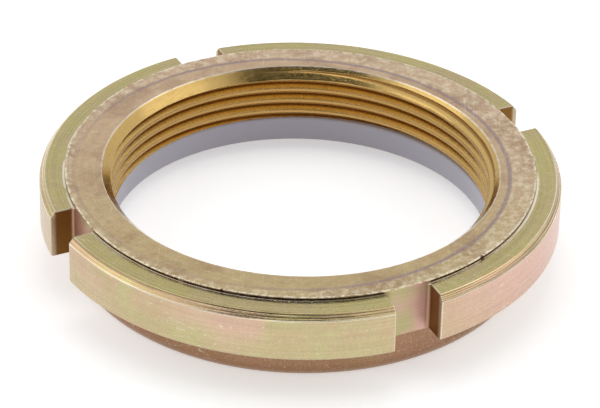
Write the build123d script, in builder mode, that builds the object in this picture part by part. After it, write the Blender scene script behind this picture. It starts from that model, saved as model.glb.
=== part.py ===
# Self-locking slotted round nut, M60 x 2.
#
# Two pieces: a turned steel body with four slots for a hook spanner round its flange, and
# a plastic locking ring in the collar below the thread, where the collar's skirt is
# rolled in over it.
#
# Millimetres, +Z up along the thread's axis. The nut stands on the rolled rim of its
# collar, with the slotted flange on top. The origin is on the axis, in the plane of that rim.
import os
from math import ceil, cos, radians, sin, sqrt, tan

from build123d import *

# --- thread ---
thread_d = 60.0             # nominal (major) diameter
thread_pitch = 2.0
flank_angle = 30.0          # degrees, between a flank and the plane across the axis
mouth_relief = 0.5          # the countersink opens this much past the major radius
cut_overrun = 0.3           # cutters reach this far into open space

# --- plastic locking ring ---
ring_grip = 0.75            # its bore stands this far inside the thread's major radius
ring_width = 4.95           # from bore to outside
ring_height = 4.3
ring_edge = 0.4             # chamfer on its bore's lower edge

# --- collar, with its skirt rolled in over the locking ring ---
collar_wall = 1.6
roll_inner_bevel = 1.0      # inside of the roll, which the ring's lower edge fills
roll_angle = 60.0           # degrees that the skirt is bent through, straight past that
lip_length = 0.8            # how far the skirt's end reaches in past the roll
ring_setback = 0.5          # from the flange's underside down to the ring's seat

# --- slotted flange ---
flange_height = 7.8         # from its underside to the turned face round the land
chamfer_width = 0.8
chamfer_height = 1.0
underside_chamfer = 0.3
slot_count = 4
slot_width = 7.3
slot_depth = 4.0
slot_collar_gap = 0.2       # the slots' floors clear the collar by this
land_step = 0.55            # the bearing land stands this far above the turned face
land_past_slot = 0.1        # the land's edge lies this far outside the slots' floors

# --- radii that follow, from the bore outwards ---
thread_r = thread_d / 2
minor_r = thread_r - thread_pitch * sqrt(3) / 2 * 5 / 8
mouth_r = thread_r + mouth_relief
ring_bore_r = thread_r - ring_grip
ring_r = ring_bore_r + ring_width
collar_r = ring_r + collar_wall
slot_floor_r = collar_r + slot_collar_gap
outer_r = slot_floor_r + slot_depth
land_r = slot_floor_r + land_past_slot

# --- heights that follow, from the rolled rim upwards ---
roll_radius = roll_inner_bevel + collar_wall
roll_end_r = collar_r - roll_radius * (1 - cos(radians(roll_angle)))
roll_end_z = roll_radius * (1 - sin(radians(roll_angle)))
rim_r = roll_end_r - roll_end_z * tan(radians(roll_angle))
lip_r = collar_r - roll_radius - lip_length
ring_bottom_z = collar_wall
ring_seat_z = ring_bottom_z + ring_height
underside_z = ring_seat_z + ring_setback
face_z = underside_z + flange_height
land_z = face_z + land_step

# --- ISO metric groove between two crests: an eighth of the pitch wide at its floor ---
groove_floor = thread_pitch / 8
groove_mouth_r = minor_r - cut_overrun
groove_mouth = groove_floor + 2 * (thread_r - groove_mouth_r) * tan(radians(flank_angle))
groove_start_z = ring_seat_z - thread_pitch
thread_turns = ceil((land_z - groove_start_z) / thread_pitch)

# One right-hand turn of the thread's groove. It is a cutter, not a piece.
with BuildPart() as groove_turn:
    with BuildLine() as turn_path:
        Helix(pitch=thread_pitch, height=thread_pitch, radius=thread_r)
    with BuildSketch(Plane.XZ):
        with BuildLine():
            Polyline(
                (thread_r, groove_floor / 2),
                (groove_mouth_r, groove_mouth / 2),
                (groove_mouth_r, -groove_mouth / 2),
                (thread_r, -groove_floor / 2),
                close=True,
            )
        make_face()
    sweep(path=turn_path.line, is_frenet=True)

with BuildPart() as nut_body:
    # turned section, revolved
    with BuildSketch(Plane.XZ):
        with BuildLine():
            Polyline(
                (ring_r, ring_bottom_z + roll_inner_bevel),
                (ring_r, ring_seat_z),
                (minor_r, ring_seat_z),
                (minor_r, land_z - (mouth_r - minor_r)),
                (mouth_r, land_z),
                (land_r, land_z),
                (land_r, face_z),
                (outer_r - chamfer_width, face_z),
                (outer_r, face_z - chamfer_height),
                (outer_r, underside_z + underside_chamfer),
                (outer_r - underside_chamfer, underside_z),
                (collar_r, underside_z),
                (collar_r, roll_radius),
            )
            RadiusArc((collar_r, roll_radius), (roll_end_r, roll_end_z), roll_radius)
            Polyline(
                (roll_end_r, roll_end_z),
                (rim_r, 0),
                (lip_r, 0),
                (lip_r, ring_bottom_z),
                (ring_r - roll_inner_bevel, ring_bottom_z),
                (ring_r, ring_bottom_z + roll_inner_bevel),
            )
        make_face()
    revolve(axis=Axis.Z)

    # spanner slots, cut straight through the flange
    with BuildSketch(Plane.XY):
        with PolarLocations(slot_floor_r, slot_count):
            Rectangle(slot_depth + cut_overrun, slot_width, align=(Align.MIN, Align.CENTER))
    extrude(amount=land_z + cut_overrun, mode=Mode.SUBTRACT)

    # thread, one turn after another, from the ring's recess out through the countersink
    for turn in range(thread_turns):
        with Locations((0, 0, groove_start_z + turn * thread_pitch)):
            add(groove_turn.part, mode=Mode.SUBTRACT)

with BuildPart() as locking_ring:
    with BuildSketch(Plane.XZ):
        with BuildLine():
            Polyline(
                (ring_r, ring_bottom_z + roll_inner_bevel),
                (ring_r, ring_seat_z),
                (ring_bore_r, ring_seat_z),
                (ring_bore_r, ring_bottom_z + ring_edge),
                (ring_bore_r + ring_edge, ring_bottom_z),
                (ring_r - roll_inner_bevel, ring_bottom_z),
                close=True,
            )
        make_face()
    revolve(axis=Axis.Z)

nut_body.part.label = "nut_body"
locking_ring.part.label = "locking_ring"

os.makedirs("parts", exist_ok=True)
export_step(nut_body.part, "parts/nut_body.step")
export_step(locking_ring.part, "parts/locking_ring.step")
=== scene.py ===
"""Finish of a self-locking slotted round nut, M60 x 2, for a hook spanner.

The nut is zinc plated and yellow passivated. A white plastic ring is crimped into its
collar under the thread. Lengths in the functions below are millimetres until a mesh is
made. +Z runs up the thread's axis, from the rolled rim to the bearing land.
"""

from math import cos, pi, radians, sin

import bmesh
import bpy
import numpy as np
from bpy.props import FloatProperty, FloatVectorProperty, PointerProperty
from mathutils import Matrix, Vector


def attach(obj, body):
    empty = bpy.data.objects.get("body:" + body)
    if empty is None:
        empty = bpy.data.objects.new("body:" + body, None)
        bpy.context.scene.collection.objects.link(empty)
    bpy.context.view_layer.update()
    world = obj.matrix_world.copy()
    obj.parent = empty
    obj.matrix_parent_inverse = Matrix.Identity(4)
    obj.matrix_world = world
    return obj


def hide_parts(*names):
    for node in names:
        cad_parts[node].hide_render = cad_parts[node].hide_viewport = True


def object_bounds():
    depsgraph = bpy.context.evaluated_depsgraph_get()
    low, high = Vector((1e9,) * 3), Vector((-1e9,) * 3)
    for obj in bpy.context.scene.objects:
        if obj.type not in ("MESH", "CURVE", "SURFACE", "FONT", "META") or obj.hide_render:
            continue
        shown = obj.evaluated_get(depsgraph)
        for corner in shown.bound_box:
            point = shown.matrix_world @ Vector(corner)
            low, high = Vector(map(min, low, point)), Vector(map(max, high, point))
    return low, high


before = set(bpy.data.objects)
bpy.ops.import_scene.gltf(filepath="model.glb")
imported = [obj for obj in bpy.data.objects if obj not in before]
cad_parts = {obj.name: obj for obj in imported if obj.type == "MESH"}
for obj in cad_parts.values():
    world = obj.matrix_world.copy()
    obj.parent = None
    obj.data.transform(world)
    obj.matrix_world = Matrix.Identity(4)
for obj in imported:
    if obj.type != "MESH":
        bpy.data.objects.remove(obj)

CAD_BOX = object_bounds()

bl_info = {
    "name": "Slotted round nut",
    "version": (1, 0, 0),
    "blender": (4, 5, 0),
    "location": "View3D > Sidebar > Round nut",
    "description": "Builds a finished self-locking slotted round nut and its stage",
    "category": "Add Mesh",
}

MM = 0.001
FACING = radians(-116.24)   # azimuth that the camera stands at
CAMERA_RISE = 32.55         # degrees above level
CAMERA_AWAY = 0.5016        # metres from the axis at the flange's underside
CAMERA_ROLL = 0.024         # radians
AIM_ABOVE = 0.0012          # metres that the camera aims above that point
LENS = 194.74               # millimetres, on a sensor 36 mm wide
SLOTS = 4
ROLL_BEND = 60              # degrees that the collar's skirt is bent through
WASHER_MARK = (1.32, 0.72)  # how far the washer's rubbed ring is off centre
STEEL = "zinc_plated_steel"
PLASTIC = "white_plastic"


def from_srgb(red, green, blue):
    """Linear colour of an 8-bit display colour: the display curve's inverse."""
    encoded = np.array([red, green, blue]) / 255
    linear = np.where(
        encoded > 0.04045, ((encoded + 0.055) / 1.055) ** 2.4, encoded / 12.92
    )
    return tuple(float(value) for value in linear)


def toward(azimuth, elevation):
    """Unit vector that points to an azimuth and an elevation, both in degrees."""
    a, e = radians(azimuth), radians(elevation)
    return Vector((cos(a) * cos(e), sin(a) * cos(e), sin(e)))


def length(name, value, description):
    """A length property, given in millimetres and kept in metres."""
    return FloatProperty(
        name=name,
        description=description,
        default=value * MM,
        min=0.0,
        unit="LENGTH",
        precision=5,
    )


def colour(name, value, description):
    """A colour property, given as an 8-bit display colour and kept linear."""
    return FloatVectorProperty(
        name=name,
        description=description,
        default=from_srgb(*value),
        min=0.0,
        max=1.0,
        size=3,
        subtype="COLOR",
    )


class RoundNutSizes(bpy.types.PropertyGroup):
    """Sizes of the nut and its locking ring."""

    thread_d: length("Thread diameter", 60.0, "Major diameter of the thread")
    pitch: length("Thread pitch", 2.0, "Rise of the thread in one turn")
    minor_r: length("Minor radius", 28.9175, "Radius at the thread's crests")
    mouth_r: length("Mouth radius", 30.5, "Radius of the countersink at the land")
    groove_start: length("Groove start", 3.9, "Height of a groove's middle on +X")
    outer_r: length("Outer radius", 40.0, "Radius of the flange")
    land_r: length("Land radius", 36.1, "Outer radius of the bearing land")
    land_z: length("Land height", CAD_BOX[1][2] / MM, "Height of the bearing land")
    face_z: length("Face height", 14.2, "Height of the flange's face")
    chamfer_w: length("Chamfer width", 0.8, "Edge chamfer, measured along the radius")
    chamfer_h: length("Chamfer height", 1.0, "Edge chamfer, measured along the axis")
    underside_z: length("Underside", 6.4, "Height of the flange's underside")
    underside_chamfer: length("Lower chamfer", 0.3, "Chamfer on the lower edge")
    slot_w: length("Slot width", 7.3, "Width of a spanner slot")
    slot_floor_r: length("Slot floor", 36.0, "Distance of a slot's floor from the axis")
    slot_fillet: length("Slot fillet", 0.45, "Radius in a slot's inner corners")
    slot_round: length("Slot round", 0.22, "Radius on a slot's outer corners")
    edge_break: length("Edge break", 0.12, "Softened edge round a slot")
    collar_r: length("Collar radius", 35.8, "Outer radius of the collar")
    roll_r: length("Roll radius", 2.6, "Outer radius of the rolled skirt's bend")
    lip_r: length("Lip radius", 32.4, "Radius inside the rolled lip")
    wall: length("Collar wall", 1.6, "Thickness of the rolled skirt")
    recess_r: length("Recess radius", 34.2, "Radius of the locking ring's recess")
    seat_z: length("Seat height", 5.9, "Height of the locking ring's seat")
    ring_bore_r: length("Ring bore", 29.25, "Radius of the locking ring's bore")
    ring_edge: length("Ring edge", 0.4, "Chamfer on the lower edge of the ring's bore")


class RoundNutColours(bpy.types.PropertyGroup):
    """Colours of the plating, the thread, the locking ring and the stage."""

    land: colour("Land", (208, 178, 146), "Plating on the bearing land")
    olive: colour("Olive", (192, 180, 122), "Plating on the flange's face")
    sand: colour("Sand", (194, 171, 137), "Plating on the flange's wall")
    rose: colour("Rose", (217, 176, 163), "Rosy patches of the passivation")
    green: colour("Green", (190, 182, 134), "Greenish patches of the passivation")
    # In the thread this deeper gold is painted reflection, light reflected inside the
    # bore.
    gold: colour("Gold", (212, 178, 110), "Thread flanks and countersink")
    crest: colour("Crest", (186, 148, 90), "Thread crests")
    # Painted shade in the bottom of the thread's grooves.
    root: colour("Root", (150, 110, 58), "Bottom of the thread's grooves")
    # Painted shade in the spanner slots; also the colour of the land's pits and of the
    # darker edge of the locking ring.
    cavity: colour("Cavity", (138, 100, 50), "Insides of the spanner slots")
    # On the collar this dark copper is painted shade under the flange; on the land it is a
    # random tone of the plating.
    copper: colour("Copper", (152, 110, 82), "Rolled collar under the flange")
    # Painted reflection: the land's darker tan on the side near the camera.
    front: colour("Tan", (198, 174, 128), "Bearing land on the side near the camera")
    # Painted shade: the near-black line on the riser under the land's edge; also the
    # colour of the nicks.
    seam: colour("Seam", (52, 32, 6), "Undercut line round the land")
    # Rubbed wear in the land's scuffs, flecks and scratches, and painted highlights along
    # the edges.
    wear_and_glint: colour("Bare edge", (245, 236, 214), "Edges where the plating is rubbed off")
    stain: colour("Stain", (150, 128, 138), "Ring rubbed into the land by a washer")
    nylon: colour("Locking ring", (204, 202, 216), "Plastic of the locking ring")
    floor: colour("Floor", (236, 236, 236), "Floor and surroundings")


def in_millimetres(group):
    """The lengths of a property group in millimetres, by name."""
    return {name: getattr(group, name) / MM for name in type(group).__annotations__}


# ---------------------------------------------------------------------------
# Shader wiring
# ---------------------------------------------------------------------------


class Wire:
    """An output socket on which Python's arithmetic adds Math nodes."""

    def __init__(self, tree, socket):
        self.tree, self.socket = tree, socket

    def maths(self, operation, *values, clamp=False):
        settings = {"operation": operation, "use_clamp": clamp}
        return self.tree.node("ShaderNodeMath", settings, dict(enumerate(values)))

    def __add__(self, other):
        return self.maths("ADD", self, other)

    def __radd__(self, other):
        return self.maths("ADD", other, self)

    def __sub__(self, other):
        return self.maths("SUBTRACT", self, other)

    def __rsub__(self, other):
        return self.maths("SUBTRACT", other, self)

    def __mul__(self, other):
        return self.maths("MULTIPLY", self, other)

    def __rmul__(self, other):
        return self.maths("MULTIPLY", other, self)

    def __truediv__(self, other):
        return self.maths("DIVIDE", self, other)

    def __abs__(self):
        return self.maths("ABSOLUTE", self)

    def lowest(self, other):
        return self.maths("MINIMUM", self, other)

    def highest(self, other):
        return self.maths("MAXIMUM", self, other)

    def clamped(self):
        return self.maths("ADD", self, 0.0, clamp=True)


class Wiring:
    """A node tree that is being wired. Every node comes from node()."""

    def __init__(self, tree):
        self.tree = tree
        tree.nodes.clear()

    def node(self, kind, settings=None, sockets=None, out=0):
        """Adds a node and returns one of its outputs.

        Its settings are made first, and then its sockets are filled or linked.
        """
        made = self.tree.nodes.new(kind)
        for name, value in (settings or {}).items():
            setattr(made, name, value)
        for key, value in (sockets or {}).items():
            socket = made.inputs[key]
            if isinstance(value, Wire):
                self.tree.links.new(value.socket, socket)
            elif socket.type == "RGBA":
                socket.default_value = (*tuple(value)[:3], 1.0)
            else:
                socket.default_value = value
        return Wire(self, made.outputs[out]) if made.outputs else None

    def vector(self, x, y, z):
        return self.node("ShaderNodeCombineXYZ", None, {0: x, 1: y, 2: z})

    def step(self, value, low, high):
        """0 below low, 1 above high, smooth between; falls instead where low > high."""
        settings = {"interpolation_type": "SMOOTHSTEP"}
        ends = {0: value, 1: min(low, high), 2: max(low, high)}
        rising = self.node("ShaderNodeMapRange", settings, ends)
        return 1 - rising if low > high else rising

    def band(self, value, low, high, soft):
        """1 between low and high, with soft edges that reach outwards."""
        return self.step(value, low - soft, low) * self.step(value, high + soft, high)

    def noise(self, vector, scale, detail=2.0, roughness=0.5):
        sockets = {
            "Vector": vector,
            "Scale": scale,
            "Detail": detail,
            "Roughness": roughness,
        }
        return self.node("ShaderNodeTexNoise", None, sockets)

    def mix(self, factor, first, second):
        """A colour between two colours."""
        sockets = {0: factor, 6: first, 7: second}
        return self.node("ShaderNodeMix", {"data_type": "RGBA"}, sockets, 2)

    def brighten(self, base, factor):
        """A colour multiplied by a number that varies."""
        settings = {"operation": "SCALE"}
        return self.node("ShaderNodeVectorMath", settings, {0: base, "Scale": factor})

    def dot(self, vector, direction):
        settings = {"operation": "DOT_PRODUCT"}
        return self.node("ShaderNodeVectorMath", settings, {0: vector, 1: direction}, 1)


class Turned(Wiring):
    """Wiring of a material on a turned piece, with the coordinates that it needs.

    x, y and z are Object coordinates in millimetres and r the distance from the axis.
    right and back are the position along two level directions computed from FACING, the
    camera's azimuth: to the camera's right, and away from the camera. They are fixed on
    the nut, so they stay where they are when the camera is moved without FACING.
    """

    def __init__(self, material):
        material.use_nodes = True
        super().__init__(material.node_tree)
        place = self.node("ShaderNodeTexCoord", None, None, "Object")
        settings = {"operation": "SCALE"}
        self.place = self.node(
            "ShaderNodeVectorMath", settings, {0: place, "Scale": 1 / MM}
        )
        self.x, self.y, self.z = (
            self.node("ShaderNodeSeparateXYZ", None, {0: self.place}, axis)
            for axis in range(3)
        )
        flat = {"operation": "LENGTH"}
        level = self.vector(self.x, self.y, 0.0)
        self.r = self.node("ShaderNodeVectorMath", flat, {0: level}, 1)
        self.around = (self.x / self.r, self.y / self.r)
        self.right = self.dot(self.place, (-sin(FACING), cos(FACING), 0.0))
        self.back = self.dot(self.place, (-cos(FACING), -sin(FACING), 0.0))

    def lathe(self, fineness, spread, shift=0.0):
        """Streaks left by turning: noise fine across the section, long around it."""
        across = (self.r - self.z * 1.3 + shift) * fineness
        streaks = self.vector(across, self.around[0] * spread, self.around[1] * spread)
        return self.noise(streaks, 1.0, 3.0, 0.6)

    def scratches(self, angle, spacing, shift):
        """Thin straight scratches: noise stretched along an angle, cut at its ridge."""
        a = radians(angle)
        along = self.x * (cos(a) * 0.06) + self.y * (sin(a) * 0.06) + self.z * 0.05
        across = self.y * (cos(a) * spacing) - self.x * (sin(a) * spacing)
        ridge = self.noise(self.vector(along, across, self.z * 0.9 + shift), 1.0, 1.0)
        return self.band(ridge, 0.4975, 0.5025, 0.004)

    def spot(self, azimuth, radius, height, size):
        """A soft spot at an azimuth in degrees, a radius and a height."""
        settings = {"operation": "DISTANCE"}
        a = radians(azimuth)
        middle = (radius * cos(a), radius * sin(a), height)
        ends = {0: self.place, 1: middle}
        away = self.node("ShaderNodeVectorMath", settings, ends, 1)
        rough = self.noise(self.place, 1.7, 3.0) - 0.5
        return self.step(away + rough * size, size, size * 0.55)


# ---------------------------------------------------------------------------
# Surfaces
# ---------------------------------------------------------------------------


def grid_faces(rows, columns):
    """Quads of a grid whose last row is joined to its first. Columns are not joined."""
    row, column = np.meshgrid(np.arange(rows), np.arange(columns - 1), indexing="ij")
    after = (row + 1) % rows
    corners = (
        row * columns + column,
        row * columns + column + 1,
        after * columns + column + 1,
        after * columns + column,
    )
    return np.stack(corners, -1).reshape(-1, 4)


def add_piece(name, points, material, node, sharp):
    """Makes a piece from a grid of points in millimetres, rows by columns by 3.

    The first and last columns lie on each other. Points that meet are merged, and edges
    sharper than the given angle in degrees stay sharp.
    """
    rows, columns = points.shape[:2]
    mesh = bpy.data.meshes.new(name)
    mesh.from_pydata(
        (points.reshape(-1, 3) * MM).tolist(), [], grid_faces(rows, columns).tolist()
    )
    work = bmesh.new()
    work.from_mesh(mesh)
    bmesh.ops.remove_doubles(work, verts=work.verts, dist=2e-7)
    bmesh.ops.recalc_face_normals(work, faces=work.faces)
    work.to_mesh(mesh)
    work.free()
    mesh.polygons.foreach_set("use_smooth", np.ones(len(mesh.polygons), bool))
    mesh.set_sharp_from_angle(angle=radians(sharp))
    mesh.materials.append(material)
    piece = bpy.data.objects.new(name, mesh)
    bpy.context.collection.objects.link(piece)
    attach(piece, "root")
    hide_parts(node)
    return piece


def slot_columns(s, face_radii):
    """Columns of one quadrant of the nut, from -45 to +45 degrees about a slot.

    Each column has a lateral distance from the slot's middle, how far it stands out
    from the slot's floor, an inset on the slot's outer corner, its share of the edge
    break, and an angle for surfaces that the slot doesn't reach. Along half a slot they
    are its floor, the fillet beside that, its wall, the round on its outer corner and
    the flange next to it. Past that the columns are even steps of angle. A wall's
    columns stand where the face's rows meet the slot, so that their points meet and
    merge.
    """
    half, floor_r = s["slot_w"] / 2, s["slot_floor_r"]
    fillet, corner, broken = s["slot_fillet"], s["slot_round"], s["edge_break"]
    far, margin = 1e3, 6.0
    floor_y = np.linspace(0, half - fillet, 4)[:-1]
    turn = np.linspace(0, pi / 2, 6)
    fillet_y = half - fillet + fillet * np.sin(turn)
    fillet_off = fillet * (1 - np.cos(turn))
    wall_off = (
        np.sqrt(face_radii**2 - (half + broken) ** 2) - corner - floor_r
    )
    wall_off = wall_off[wall_off > fillet + 0.05]
    round_turn = np.linspace(0, pi / 2, 5)
    round_y = half + corner * (1 - np.cos(round_turn))
    round_inset = corner * (1 - np.sin(round_turn))
    flange_y = np.array([4.1, 4.5, 5.1, margin])

    lateral = np.concatenate(
        [floor_y, fillet_y, np.full(len(wall_off), half), round_y, flange_y]
    )
    off = np.concatenate(
        [
            np.zeros(len(floor_y)),
            fillet_off,
            wall_off,
            np.full(len(round_y) + len(flange_y), far),
        ]
    )
    inset = np.concatenate(
        [
            np.full(len(floor_y) + len(fillet_y) + len(wall_off), corner),
            round_inset,
            np.zeros(len(flange_y)),
        ]
    )
    share = np.concatenate(
        [
            np.zeros(len(floor_y)),
            np.sin(turn) ** 2,
            np.ones(len(wall_off) + len(round_y)),
            (margin - flange_y) / (margin - half),
        ]
    )
    angle = np.arcsin(lateral / floor_r)
    steps = np.radians(np.linspace(10.5, 45.0, 41))
    blank = np.full(len(steps), np.nan)
    sideways = np.concatenate([lateral, blank])
    columns = {
        "lateral": np.concatenate([-sideways[:0:-1], sideways]),
        "angle": np.concatenate(
            [-np.concatenate([angle, steps])[:0:-1], angle, steps]
        ),
    }
    for name, values in (("off", off), ("inset", inset), ("share", share)):
        values = np.concatenate([values, np.zeros(len(steps))])
        columns[name] = np.concatenate([values[:0:-1], values])
    return columns


def arc(centre_r, centre_z, radius, start, end, count):
    """Radii and heights of points on an arc of the section, angles in degrees."""
    turn = np.radians(np.linspace(start, end, count))
    return centre_r + radius * np.cos(turn), centre_z + radius * np.sin(turn)


def outer_section(s):
    """The section outside the bore, from the land's inner edge to the ring's seat.

    Returns radii, heights and, by row, whether the spanner slots cut it.
    """
    soft, foot = 0.09, 0.12
    land_z, face_z, land_r = s["land_z"], s["face_z"], s["land_r"]
    outer_r, under_z = s["outer_r"], s["underside_z"]
    edge_r = outer_r - s["chamfer_w"]
    low_r, low_z = outer_r - s["underside_chamfer"], under_z + s["underside_chamfer"]
    face_r = np.array([36.6, 37.3, 38.0, 38.6, 39.0, edge_r])

    land = np.array([30.56, 30.7, 31.2, 32.0, 32.8, 33.6, 34.4, 35.1, 35.6, 35.9])
    parts = [(land, np.full(len(land), land_z), False)]
    parts.append((*arc(land_r - soft, land_z - soft, soft, 90, 0, 4), False))
    parts.append((*arc(land_r + foot, face_z + foot, foot, 180, 270, 5), True))
    parts.append((face_r, np.full(len(face_r), face_z), True))
    share = np.array([0.035, 0.07, 0.12, 0.3, 0.5, 0.7, 0.88, 0.95, 1.0])
    parts.append(
        (edge_r + share * s["chamfer_w"], face_z - share * s["chamfer_h"], True)
    )
    wall_top = face_z - s["chamfer_h"]
    wall = np.array([0.012, 0.04, 0.15, 0.3, 0.45, 0.6, 0.75, 0.9, 0.97, 1.0])
    parts.append(
        (np.full(len(wall), outer_r), wall_top + wall * (low_z - wall_top), True)
    )
    cut = np.array([0.33, 0.66, 1.0])
    parts.append(
        (
            outer_r - cut * s["underside_chamfer"],
            low_z - cut * s["underside_chamfer"],
            True,
        )
    )
    back = face_r[::-1]
    parts.append((back, np.full(len(back), under_z), True))
    parts.append((*arc(s["collar_r"] + foot, under_z - foot, foot, 90, 180, 4), False))
    collar = np.linspace(under_z - 0.6, s["roll_r"] + 0.3, 6)
    parts.append((np.full(len(collar), s["collar_r"]), collar, False))
    bend_r = s["collar_r"] - s["roll_r"]
    parts.append((*arc(bend_r, s["roll_r"], s["roll_r"], 0, -ROLL_BEND, 10), False))
    bend = radians(ROLL_BEND)
    rim_z = s["roll_r"] * (1 - sin(bend))
    rim_r = bend_r + s["roll_r"] * cos(bend) - rim_z * np.tan(bend)
    heel, nose = 0.2, 0.3
    under = np.array([0.5, 1.0]) * (rim_r - heel - s["lip_r"] - nose)
    parts.append((rim_r - heel - under, np.zeros(2), False))
    parts.append((*arc(s["lip_r"] + nose, nose, nose, 255, 180, 4), False))
    parts.append((*arc(s["lip_r"] + nose, s["wall"] - nose, nose, 180, 90, 5), False))
    inside_r = np.array([bend_r, (bend_r + s["recess_r"]) / 2, s["recess_r"]])
    rise = s["recess_r"] - bend_r
    inside_z = s["wall"] + np.array([0, 0.5, 1.0]) * rise
    parts.append((inside_r, inside_z, False))
    parts.append(
        (
            np.array([s["recess_r"], s["recess_r"], 33.0, 31.5, 30.4]),
            np.array([4.0, s["seat_z"], s["seat_z"], s["seat_z"], s["seat_z"]]),
            False,
        )
    )
    radii = np.concatenate([part[0] for part in parts])
    heights = np.concatenate([part[1] for part in parts])
    slotted = np.concatenate([np.full(len(part[0]), part[2]) for part in parts])
    return radii, heights, slotted, np.append(face_r, low_r)


def outer_surface(s, radii, heights, slotted, columns):
    """The section outside the bore carried round one quadrant, rows by columns.

    Where a slot cuts a row, a column keeps its lateral distance and stands at the
    lesser of the row's circle and its own distance from the slot's floor. The edge
    break widens the slot where a row comes near the flange's face or underside. The
    land's rim stops at the slot's floor.
    """
    near = np.minimum(np.abs(s["face_z"] - heights), np.abs(heights - s["underside_z"]))
    broken = s["edge_break"] * np.clip(1 - near / s["edge_break"], 0, 1)
    full = np.clip((radii - s["land_r"] - 0.2) / 0.3, 0, 1)[:, None]
    r, z = radii[:, None], heights[:, None] + 0 * columns["angle"]
    side = np.sign(columns["lateral"])
    y = columns["lateral"] + side * columns["share"] * broken[:, None]
    x = np.minimum(
        np.sqrt(np.maximum(r**2 - y**2, 0)) - columns["inset"] * full,
        s["slot_floor_r"] + columns["off"],
    )
    plain = np.isnan(columns["lateral"]) | ~slotted[:, None]
    x = np.where(plain, r * np.cos(columns["angle"]), x)
    y = np.where(plain, r * np.sin(columns["angle"]), y)
    over = ~slotted[:, None] & (r > s["slot_floor_r"]) & (x > s["slot_floor_r"])
    over &= np.abs(y) < s["slot_w"] / 2
    return np.where(over, s["slot_floor_r"], x), y, z


def thread_phases(pitch):
    """Where a pitch has rows: closer together on the roots, edges and crests."""
    shares = [0.0, 0.055, 0.075, 0.1, 0.15, 0.21, 0.27, 0.32, 0.35, 0.375, 0.405, 0.44]
    half = np.array(shares) * pitch
    return np.concatenate([half, [pitch / 2], pitch - half[:0:-1]])


def thread_profile(s, phase):
    """Radius of the bore at a distance along the axis from a groove's middle.

    A 60 degree thread: flat roots an eighth of the pitch wide, flat crests a quarter of
    it, straight flanks, and each corner rounded by averaging over a short window.
    """
    major, minor, pitch = s["thread_d"] / 2, s["minor_r"], s["pitch"]
    window = np.linspace(-0.045, 0.045, 7)[:, None, None]
    from_root = np.abs((phase + window + pitch / 2) % pitch - pitch / 2)
    flank = major - (from_root - pitch / 16) / np.tan(radians(30))
    return np.clip(flank, minor, major).mean(0)


def bore_surface(s, angle):
    """The threaded bore, rows by columns, from the ring's seat up to the countersink.

    A row rises by a pitch each turn, so a groove stays in its rows. Rows that would
    pass the seat or the land stop there. The countersink is a 45 degree cone, and the
    radius is the larger of that and the thread's.
    """
    pitch, low, high = s["pitch"], s["seat_z"], s["land_z"]
    turns = np.arange(7)[:, None] * pitch + thread_phases(pitch)
    start = s["groove_start"] + turns.ravel()
    rise = pitch * angle / (2 * pi)
    keep = (start + rise.max() > low - 0.2) & (start + rise.min() < high + 0.2)
    z = np.clip(start[keep][:, None] + rise, low, high)
    thread = thread_profile(s, z - rise - s["groove_start"])
    cone = s["mouth_r"] - (high - z)
    r = np.maximum(thread, cone)
    return r * np.cos(angle), r * np.sin(angle), z


def nut_points(s):
    """Points of the whole nut body, its section closed, from -45 to 315 degrees."""
    radii, heights, slotted, face_radii = outer_section(s)
    columns = slot_columns(s, face_radii)
    x, y, z = outer_surface(s, radii, heights, slotted, columns)
    outer, angles = [], []
    for quadrant in range(SLOTS):
        turn = quadrant * 2 * pi / SLOTS
        used = slice(0, None if quadrant == SLOTS - 1 else -1)
        turned = np.stack(
            [x * cos(turn) - y * sin(turn), x * sin(turn) + y * cos(turn), z], -1
        )
        outer.append(turned[:, used])
        angles.append(columns["angle"][used] + turn)
    bore = np.stack(bore_surface(s, np.concatenate(angles)), -1)
    return np.concatenate([bore, np.concatenate(outer, 1)])


def ring_points(s):
    """Points of the locking ring: its rounded section carried round in even steps."""
    bore, outer, top, low = s["ring_bore_r"], s["recess_r"], s["seat_z"], s["wall"]
    edge, soft = s["ring_edge"], 0.12
    rise = s["recess_r"] - (s["collar_r"] - s["roll_r"])
    spans = [
        arc(bore + soft, top - soft, soft, 90, 180, 5),
        (np.full(4, bore), np.linspace(top - 0.6, low + edge + 0.2, 4)),
        (bore + edge * np.linspace(0, 1, 4), low + edge * np.linspace(1, 0, 4)),
        (np.array([31.0, 32.5, outer - rise]), np.full(3, low)),
        (np.array([outer - rise / 2, outer]), low + rise * np.array([0.5, 1.0])),
        (np.full(2, outer), np.array([4.2, top])),
        (np.array([33.0, 31.5, 30.3]), np.full(3, top)),
    ]
    r = np.concatenate([span[0] for span in spans])[:, None]
    z = np.concatenate([span[1] for span in spans])[:, None]
    angle = np.linspace(0, 2 * pi, 241)
    return np.stack([r * np.cos(angle), r * np.sin(angle), z + 0 * angle], -1)


# ---------------------------------------------------------------------------
# Materials
# ---------------------------------------------------------------------------


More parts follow.
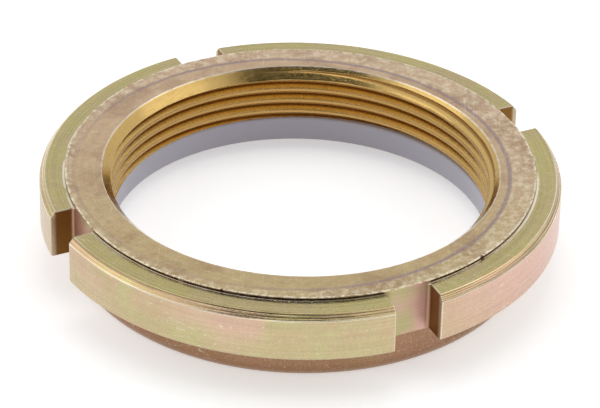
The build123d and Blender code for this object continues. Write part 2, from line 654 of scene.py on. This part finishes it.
def steel_material(c):
    """Yellow passivated zinc on turned steel.

    The plating's tint drifts between sand, rose and green. Turning streaks run round
    the axis. The flange's face is olive. Painted light: deeper gold in the thread stands
    for light reflected in the bore, brown in the thread's roots, the slots' walls and the
    collar under the flange is painted shade, and the bright edges are painted highlights.
    """
    material = bpy.data.materials.new(STEEL + "_finish")
    t = Turned(material)
    r, z = t.r, t.z

    broad = t.noise(t.place, 0.055, 2.0)
    drift = t.noise(t.place, 0.16, 3.0)
    cloud = t.noise(t.place, 0.75, 4.0, 0.6)
    grain = t.noise(t.place, 9.0, 3.0, 0.7)
    fine = t.lathe(7.0, 2.2)
    coarse = t.lathe(2.1, 1.3, 40.0)
    marks = (t.scratches(24, 5.5, 0.0) + t.scratches(-51, 4.1, 9.0)).clamped()

    in_bore = t.step(r, 30.75, 30.55)
    on_land = t.step(z, 14.64, 14.7)
    on_face = t.band(z, 14.13, 14.24, 0.03) * t.step(r, 36.15, 36.3)
    on_chamfer = t.band(z, 13.2, 14.16, 0.03) * t.step(r, 39.1, 39.25)
    on_wall = t.step(r, 39.7, 39.85) * t.step(z, 13.2, 13.1)
    beside = abs(t.x).lowest(abs(t.y))
    in_slot = t.step(beside, 3.8, 3.7) * t.step(r, 35.9, 35.98)
    on_collar = t.step(r, 36.05, 35.95) * t.step(z, 6.45, 6.3) * t.step(r, 30.5, 31.5)
    rightness = t.step(t.right, 12.0, 38.0)

    tint = t.mix(t.step(drift, 0.42, 0.66), c.sand, c.green)
    tint = t.mix(t.step(broad, 0.45, 0.62) * 0.55, tint, c.rose)
    # The wall turns rosier towards the camera's right, and greener low down on its left.
    tint = t.mix(rightness * on_wall * 0.75, tint, c.rose)
    low_wall = on_wall * t.step(z, 11.6, 8.0) * (1 - rightness)
    tint = t.mix(low_wall * 0.45, tint, c.green)

    # Painted reflection: the land is a darker tan on the side near the camera and its own
    # paler colour away from it.
    land = t.mix(t.step(t.back, 20.0, -34.0), c.land, c.front)
    land = t.mix(t.step(cloud, 0.5, 0.72) * 0.35, land, c.green)
    land = t.mix(t.step(drift, 0.52, 0.36) * 0.35, land, c.copper)
    from_mark = t.vector(t.right + WASHER_MARK[0], t.back + WASHER_MARK[1], 0.0)
    settings = {"operation": "LENGTH"}
    washer = t.node("ShaderNodeVectorMath", settings, {0: from_mark}, 1)
    rubbed = t.band(washer + (cloud - 0.5) * 0.5, 33.15, 33.5, 0.3)
    scuffed = t.step(washer, 33.4, 34.0) * t.step(cloud, 0.38, 0.62)
    arc_side = t.step(t.right + t.back * 0.6, -34.0, 2.0)
    land = t.mix(rubbed * (0.2 + arc_side * 0.55) * (0.4 + cloud), land, c.stain)
    land = t.mix(scuffed * (cloud * 0.5), land, c.wear_and_glint)
    flecks = t.step(t.noise(t.place, 2.3, 4.0, 0.65), 0.6, 0.68)
    pits = t.step(t.noise(t.place, 3.1, 2.0, 0.6), 0.33, 0.27)
    dragged = t.scratches(8, 3.2, 21.0).highest(t.scratches(63, 2.6, 33.0))
    land = t.mix((flecks + dragged).clamped() * (0.3 + scuffed * 0.5), land, c.wear_and_glint)
    land = t.mix(pits * 0.5, land, c.cavity)
    tint = t.mix(on_land, tint, land)
    face = t.mix(t.step(drift, 0.35, 0.7) * 0.5, c.olive, c.sand)
    tint = t.mix(on_face, tint, face)
    tint = t.mix(on_chamfer * 0.3, tint, c.gold)

    # Painted light in the bore: deeper gold on the flanks for light reflected inside it,
    # and painted shade darkening to brown towards the grooves' roots.
    depth = t.step(r, 28.95, 29.95)
    cone = t.step(abs(r - z - 15.75), 0.1, 0.04)
    thread = t.mix(t.step(r, 28.93, 29.08), c.crest, c.gold)
    thread = t.mix(t.step(depth, 0.45, 1.0), thread, c.root)
    thread = t.mix(cone, thread, c.gold)
    tint = t.mix(in_bore * (1 - on_land), tint, thread)

    # Painted shade in the spanner slots: their walls take the cavity colour, and their
    # floors darken towards the walls.
    slot_floor = in_slot * t.step(abs(t.x).highest(abs(t.y)), 36.55, 36.25)
    floor_tint = t.mix(t.step(drift, 0.4, 0.6), c.green, c.rose)
    floor_tint = t.mix(t.step(beside, 2.6, 3.5) * 0.5, floor_tint, c.cavity)
    tint = t.mix(in_slot, tint, t.mix(slot_floor, c.cavity, floor_tint))
    # Painted shade: the rolled collar under the flange darkens to copper.
    tint = t.mix(on_collar * 0.85, tint, c.copper)

    # Painted shade: the riser under the land's outer edge is darkened to a near-black
    # line.
    riser = t.band(r, 36.04, 36.2, 0.03) * t.band(z, 14.27, 14.6, 0.02)
    riser = riser * (1 - in_slot)
    tint = t.mix(riser * (0.75 + cloud * 0.5).clamped(), tint, c.seam)
    # Painted highlights: bright lines along the land's rim, the riser's foot, the
    # chamfer's edges, the slots' corners and the countersink's mouth.
    rim = t.band(r + cloud * 0.3, 35.98, 36.3, 0.06) * t.step(z, 14.58, 14.64)
    glint = t.step(t.noise(t.place, 1.3, 3.0, 0.6), 0.44, 0.56)
    foot = t.band(r, 36.2, 36.46, 0.06) * t.band(z, 14.1, 14.26, 0.02)
    edge_glints = (rim * glint).highest(foot * t.step(drift, 0.3, 0.5))
    top_edge = t.band(r - z, 24.92, 25.1, 0.06) * t.step(r, 39.0, 39.1)
    low_edge = t.band(z, 13.1, 13.3, 0.05) * on_wall.highest(on_chamfer)
    corner = t.band(beside, 3.66, 3.86, 0.05) * t.step(r, 38.9, 39.5)
    brink = t.band(beside, 3.68, 3.84, 0.04) * t.step(z, 13.9, 14.1)
    mouth = t.step(r, 30.66, 30.56) * t.step(z, 14.55, 14.68)
    edge_glints = edge_glints.highest(top_edge * t.step(coarse, 0.5, 0.6) * 0.8)
    edge_glints = edge_glints.highest(low_edge * t.step(fine, 0.35, 0.55) * 0.8)
    edge_glints = edge_glints.highest(corner.highest(brink) * t.step(r, 36.1, 36.5) * 0.55)
    edge_glints = edge_glints.highest(mouth * t.step(cloud, 0.25, 0.5) * 0.7)
    # The painted edge highlights are mixed in here.
    tint = t.mix(edge_glints * 0.9, tint, c.wear_and_glint)

    turned = t.lathe(3.4, 0.9, 11.0)
    rings = t.step(turned, 0.38, 0.62) - 0.5
    streak_depth = 0.2 + on_wall * 0.06 - in_bore * 0.12
    shade = 1 + (fine - 0.5) * streak_depth * 1.5 + (coarse - 0.5) * streak_depth * 1.4
    # Streaks, grain and mottling vary the tone; on the chamfer the bright and dark bands
    # of its turned grooves are partly turning marks, partly painted light and shade.
    shade = shade + on_chamfer * rings * 0.9 + on_face * rings * 0.16
    open_grain = 1 - in_bore * 0.95
    shade = shade + (cloud - 0.5) * (0.18 + on_land * 0.3)
    shade = shade + (grain - 0.5) * 0.12 * open_grain
    tint = t.brighten(tint, shade)
    open_faces = (1 - in_bore) * (1 - in_slot)
    tint = t.mix(marks * open_faces * 0.4, tint, c.wear_and_glint)

    deposit = t.spot(146, 39.9, 10.4, 0.9).highest(t.spot(143, 39.9, 8.9, 0.6))
    deposit = deposit.highest(t.spot(-21, 39.9, 9.6, 0.7))
    nick = t.spot(-68, 36.1, 14.45, 0.55).highest(t.spot(-134, 36.1, 14.5, 0.4))
    tint = t.mix(deposit * 0.85, tint, c.nylon)
    tint = t.mix(nick * 0.9, tint, c.seam)

    rough = 0.27 + (fine - 0.5) * 0.14 * open_grain + (cloud - 0.5) * 0.1
    rough = rough - cone * in_bore * 0.1 - on_chamfer * 0.07
    rough = rough + on_land * 0.07 + scuffed * on_land * 0.08 + in_slot * 0.2
    rough = (rough + deposit * 0.4 - edge_glints * 0.05).clamped()
    relief = (fine + coarse) * (open_grain * 0.5) + rings * on_chamfer * 4.5
    relief = relief + grain * 0.35 * open_grain - marks * 0.5 - pits * on_land
    bump = t.node(
        "ShaderNodeBump",
        None,
        {"Strength": 0.5, "Distance": 0.00002, "Height": relief},
    )
    shader = t.node(
        "ShaderNodeBsdfPrincipled",
        None,
        {
            "Base Color": tint,
            "Metallic": 1 - deposit * 0.9,
            "Roughness": rough,
            "Normal": bump,
        },
    )
    t.node("ShaderNodeOutputMaterial", None, {"Surface": shader})
    return material


def nylon_material(c):
    """Satin white plastic with faint turning rings, darker at the top of its bore by the
    thread.
    """
    material = bpy.data.materials.new(PLASTIC + "_finish")
    t = Turned(material)
    rings = t.lathe(5.0, 0.6)
    cloud = t.noise(t.place, 0.5, 3.0)
    # Darker towards the top of the ring's bore, next to the thread.
    darker_by_thread = t.step(t.z, 5.3, 5.9) * t.step(t.r, 29.5, 29.3) * 0.4
    tint = t.brighten(t.mix(darker_by_thread, c.nylon, c.cavity), 0.94 + rings * 0.12)
    bump = t.node(
        "ShaderNodeBump", None, {"Strength": 0.3, "Distance": 0.00003, "Height": rings}
    )
    shader = t.node(
        "ShaderNodeBsdfPrincipled",
        None,
        {
            "Base Color": tint,
            "Roughness": 0.4 + (cloud - 0.5) * 0.15,
            "IOR": 1.53,
            "Subsurface Weight": 0.08,
            "Subsurface Radius": (0.001, 0.001, 0.001),
            "Normal": bump,
        },
    )
    t.node("ShaderNodeOutputMaterial", None, {"Surface": shader})
    return material


def seen_directly(w):
    """1 for rays from the camera, from gloss and through glass, 0 for other light."""
    path = [
        w.node("ShaderNodeLightPath", None, None, name)
        for name in ("Is Camera Ray", "Is Glossy Ray", "Is Transmission Ray")
    ]
    return path[0].highest(path[1]).highest(path[2])


def floor_material(c):
    """Pale matt floor that reads as white away from the object and keeps its shadow."""
    material = bpy.data.materials.new("floor")
    material.use_nodes = True
    w = Wiring(material.node_tree)
    matt = w.node("ShaderNodeBsdfDiffuse", None, {"Color": c.floor})
    lift = {"Color": (1.0, 1.0, 1.0), "Strength": seen_directly(w) * 0.5}
    glow = w.node("ShaderNodeEmission", None, lift)
    both = w.node("ShaderNodeAddShader", None, {0: matt, 1: glow})
    w.node("ShaderNodeOutputMaterial", None, {"Surface": both})
    return material


def surroundings(world):
    """Pale studio walls with a darker gap above the camera, white to camera rays only.

    The gap and the paler sides are placed from FACING, the camera's azimuth.
    """
    world.use_nodes = True
    w = Wiring(world.node_tree)
    direction = w.node("ShaderNodeTexCoord", None, None, "Generated")
    gap = toward(np.degrees(FACING), 50)
    side = toward(np.degrees(FACING) + 90, 0)
    shaded = w.step(w.dot(direction, gap), 0.78, 0.91)
    sides = w.step(abs(w.dot(direction, side)), 0.45, 0.95)
    level = (0.8 + sides * 0.03) * (1 - shaded * 0.92)
    camera = w.node("ShaderNodeLightPath", None, None, "Is Camera Ray")
    strength = level * (1 - camera) + camera
    glow = {"Color": (1.0, 1.0, 1.0), "Strength": strength}
    light = w.node("ShaderNodeBackground", None, glow)
    w.node("ShaderNodeOutputWorld", None, {"Surface": light})


# ---------------------------------------------------------------------------
# Operators
# ---------------------------------------------------------------------------


class ROUNDNUT_OT_body(bpy.types.Operator):
    """Builds the plated nut body with its thread, slots, land and rolled collar"""

    bl_idname = "roundnut.body"
    bl_label = "Nut body"

    def execute(self, context):
        points = nut_points(in_millimetres(context.scene.round_nut_sizes))
        if not np.isfinite(points).all():
            raise ValueError("the nut body's sizes do not fit together")
        material = steel_material(context.scene.round_nut_colours)
        add_piece("plated_nut_body", points, material, "nut_body", 26)
        return {"FINISHED"}


class ROUNDNUT_OT_ring(bpy.types.Operator):
    """Builds the white plastic locking ring in its recess"""

    bl_idname = "roundnut.ring"
    bl_label = "Locking ring"

    def execute(self, context):
        points = ring_points(in_millimetres(context.scene.round_nut_sizes))
        material = nylon_material(context.scene.round_nut_colours)
        add_piece("plastic_locking_ring", points, material, "locking_ring", 26)
        return {"FINISHED"}


class ROUNDNUT_OT_stage(bpy.types.Operator):
    """Sets up the floor, the lamps, the surroundings and the camera"""

    bl_idname = "roundnut.stage"
    bl_label = "Stage"

    def execute(self, context):
        scene = context.scene
        scene.view_settings.view_transform = "Standard"
        self.add_floor(scene)
        scene.world = bpy.data.worlds.new("studio")
        surroundings(scene.world)
        front = np.degrees(FACING)
        self.add_lamp(scene, "left_lamp", toward(front - 92, 36), 0.7, 0.45, 0.35)
        self.add_lamp(scene, "right_lamp", toward(front + 92, 34), 0.7, 0.45, 0.3)
        self.add_lamp(scene, "top_lamp", toward(front + 180, 80), 0.9, 0.4, 0.9)
        self.add_camera(scene)
        return {"FINISHED"}

    def add_floor(self, scene):
        """A level square under the nut, three metres across."""
        half, low = 1.5, CAD_BOX[0][2]
        plan = [(-half, -half), (half, -half), (half, half), (-half, half)]
        corners = [(x, y, low) for x, y in plan]
        mesh = bpy.data.meshes.new("floor")
        mesh.from_pydata(corners, [], [(0, 1, 2, 3)])
        mesh.materials.append(floor_material(scene.round_nut_colours))
        floor = bpy.data.objects.new("floor", mesh)
        scene.collection.objects.link(floor)

    def add_lamp(self, scene, name, direction, distance, size, power):
        """A square soft lamp that faces the nut."""
        data = bpy.data.lights.new(name, "AREA")
        data.shape, data.size, data.energy = "SQUARE", size, power
        lamp = bpy.data.objects.new(name, data)
        lamp.location = direction * distance
        lamp.rotation_euler = direction.to_track_quat("Z", "Y").to_euler()
        scene.collection.objects.link(lamp)

    def add_camera(self, scene):
        """A long lens above the nut, rolled a little to one side."""
        middle = Vector((0, 0, scene.round_nut_sizes.underside_z))
        place = middle + toward(np.degrees(FACING), CAMERA_RISE) * CAMERA_AWAY
        ahead = (middle - place).normalized()
        right = ahead.cross(Vector((0, 0, 1))).normalized()
        up = right.cross(ahead)
        ahead = (middle + up * AIM_ABOVE - place).normalized()
        up = (up - right * CAMERA_ROLL).normalized()
        up = (up - ahead * up.dot(ahead)).normalized()
        right = ahead.cross(up)
        data = bpy.data.cameras.new("camera")
        data.lens, data.sensor_width, data.sensor_fit = LENS, 36.0, "HORIZONTAL"
        data.clip_start, data.clip_end = 0.01, 20.0
        camera = bpy.data.objects.new("camera", data)
        turn = Matrix((right, up, -ahead)).transposed().to_4x4()
        camera.matrix_world = Matrix.Translation(place) @ turn
        scene.collection.objects.link(camera)
        scene.camera = camera


class ROUNDNUT_PT_panel(bpy.types.Panel):
    """Lists the nut's sizes, colours and operators"""

    bl_idname = "ROUNDNUT_PT_panel"
    bl_label = "Round nut"
    bl_space_type = "VIEW_3D"
    bl_region_type = "UI"
    bl_category = "Round nut"

    def draw(self, context):
        for group in (context.scene.round_nut_sizes, context.scene.round_nut_colours):
            box = self.layout.box()
            for name in type(group).__annotations__:
                box.prop(group, name)
        for operator in OPERATORS:
            self.layout.operator(operator.bl_idname)


OPERATORS = (ROUNDNUT_OT_body, ROUNDNUT_OT_ring, ROUNDNUT_OT_stage)
CLASSES = (RoundNutSizes, RoundNutColours, *OPERATORS, ROUNDNUT_PT_panel)


def register():
    for each in CLASSES:
        bpy.utils.register_class(each)
    bpy.types.Scene.round_nut_sizes = PointerProperty(type=RoundNutSizes)
    bpy.types.Scene.round_nut_colours = PointerProperty(type=RoundNutColours)


def unregister():
    del bpy.types.Scene.round_nut_colours
    del bpy.types.Scene.round_nut_sizes
    for each in reversed(CLASSES):
        bpy.utils.unregister_class(each)


def main():
    register()
    bpy.ops.roundnut.body()
    bpy.ops.roundnut.ring()
    bpy.ops.roundnut.stage()


if __name__ == "__main__":
    main()
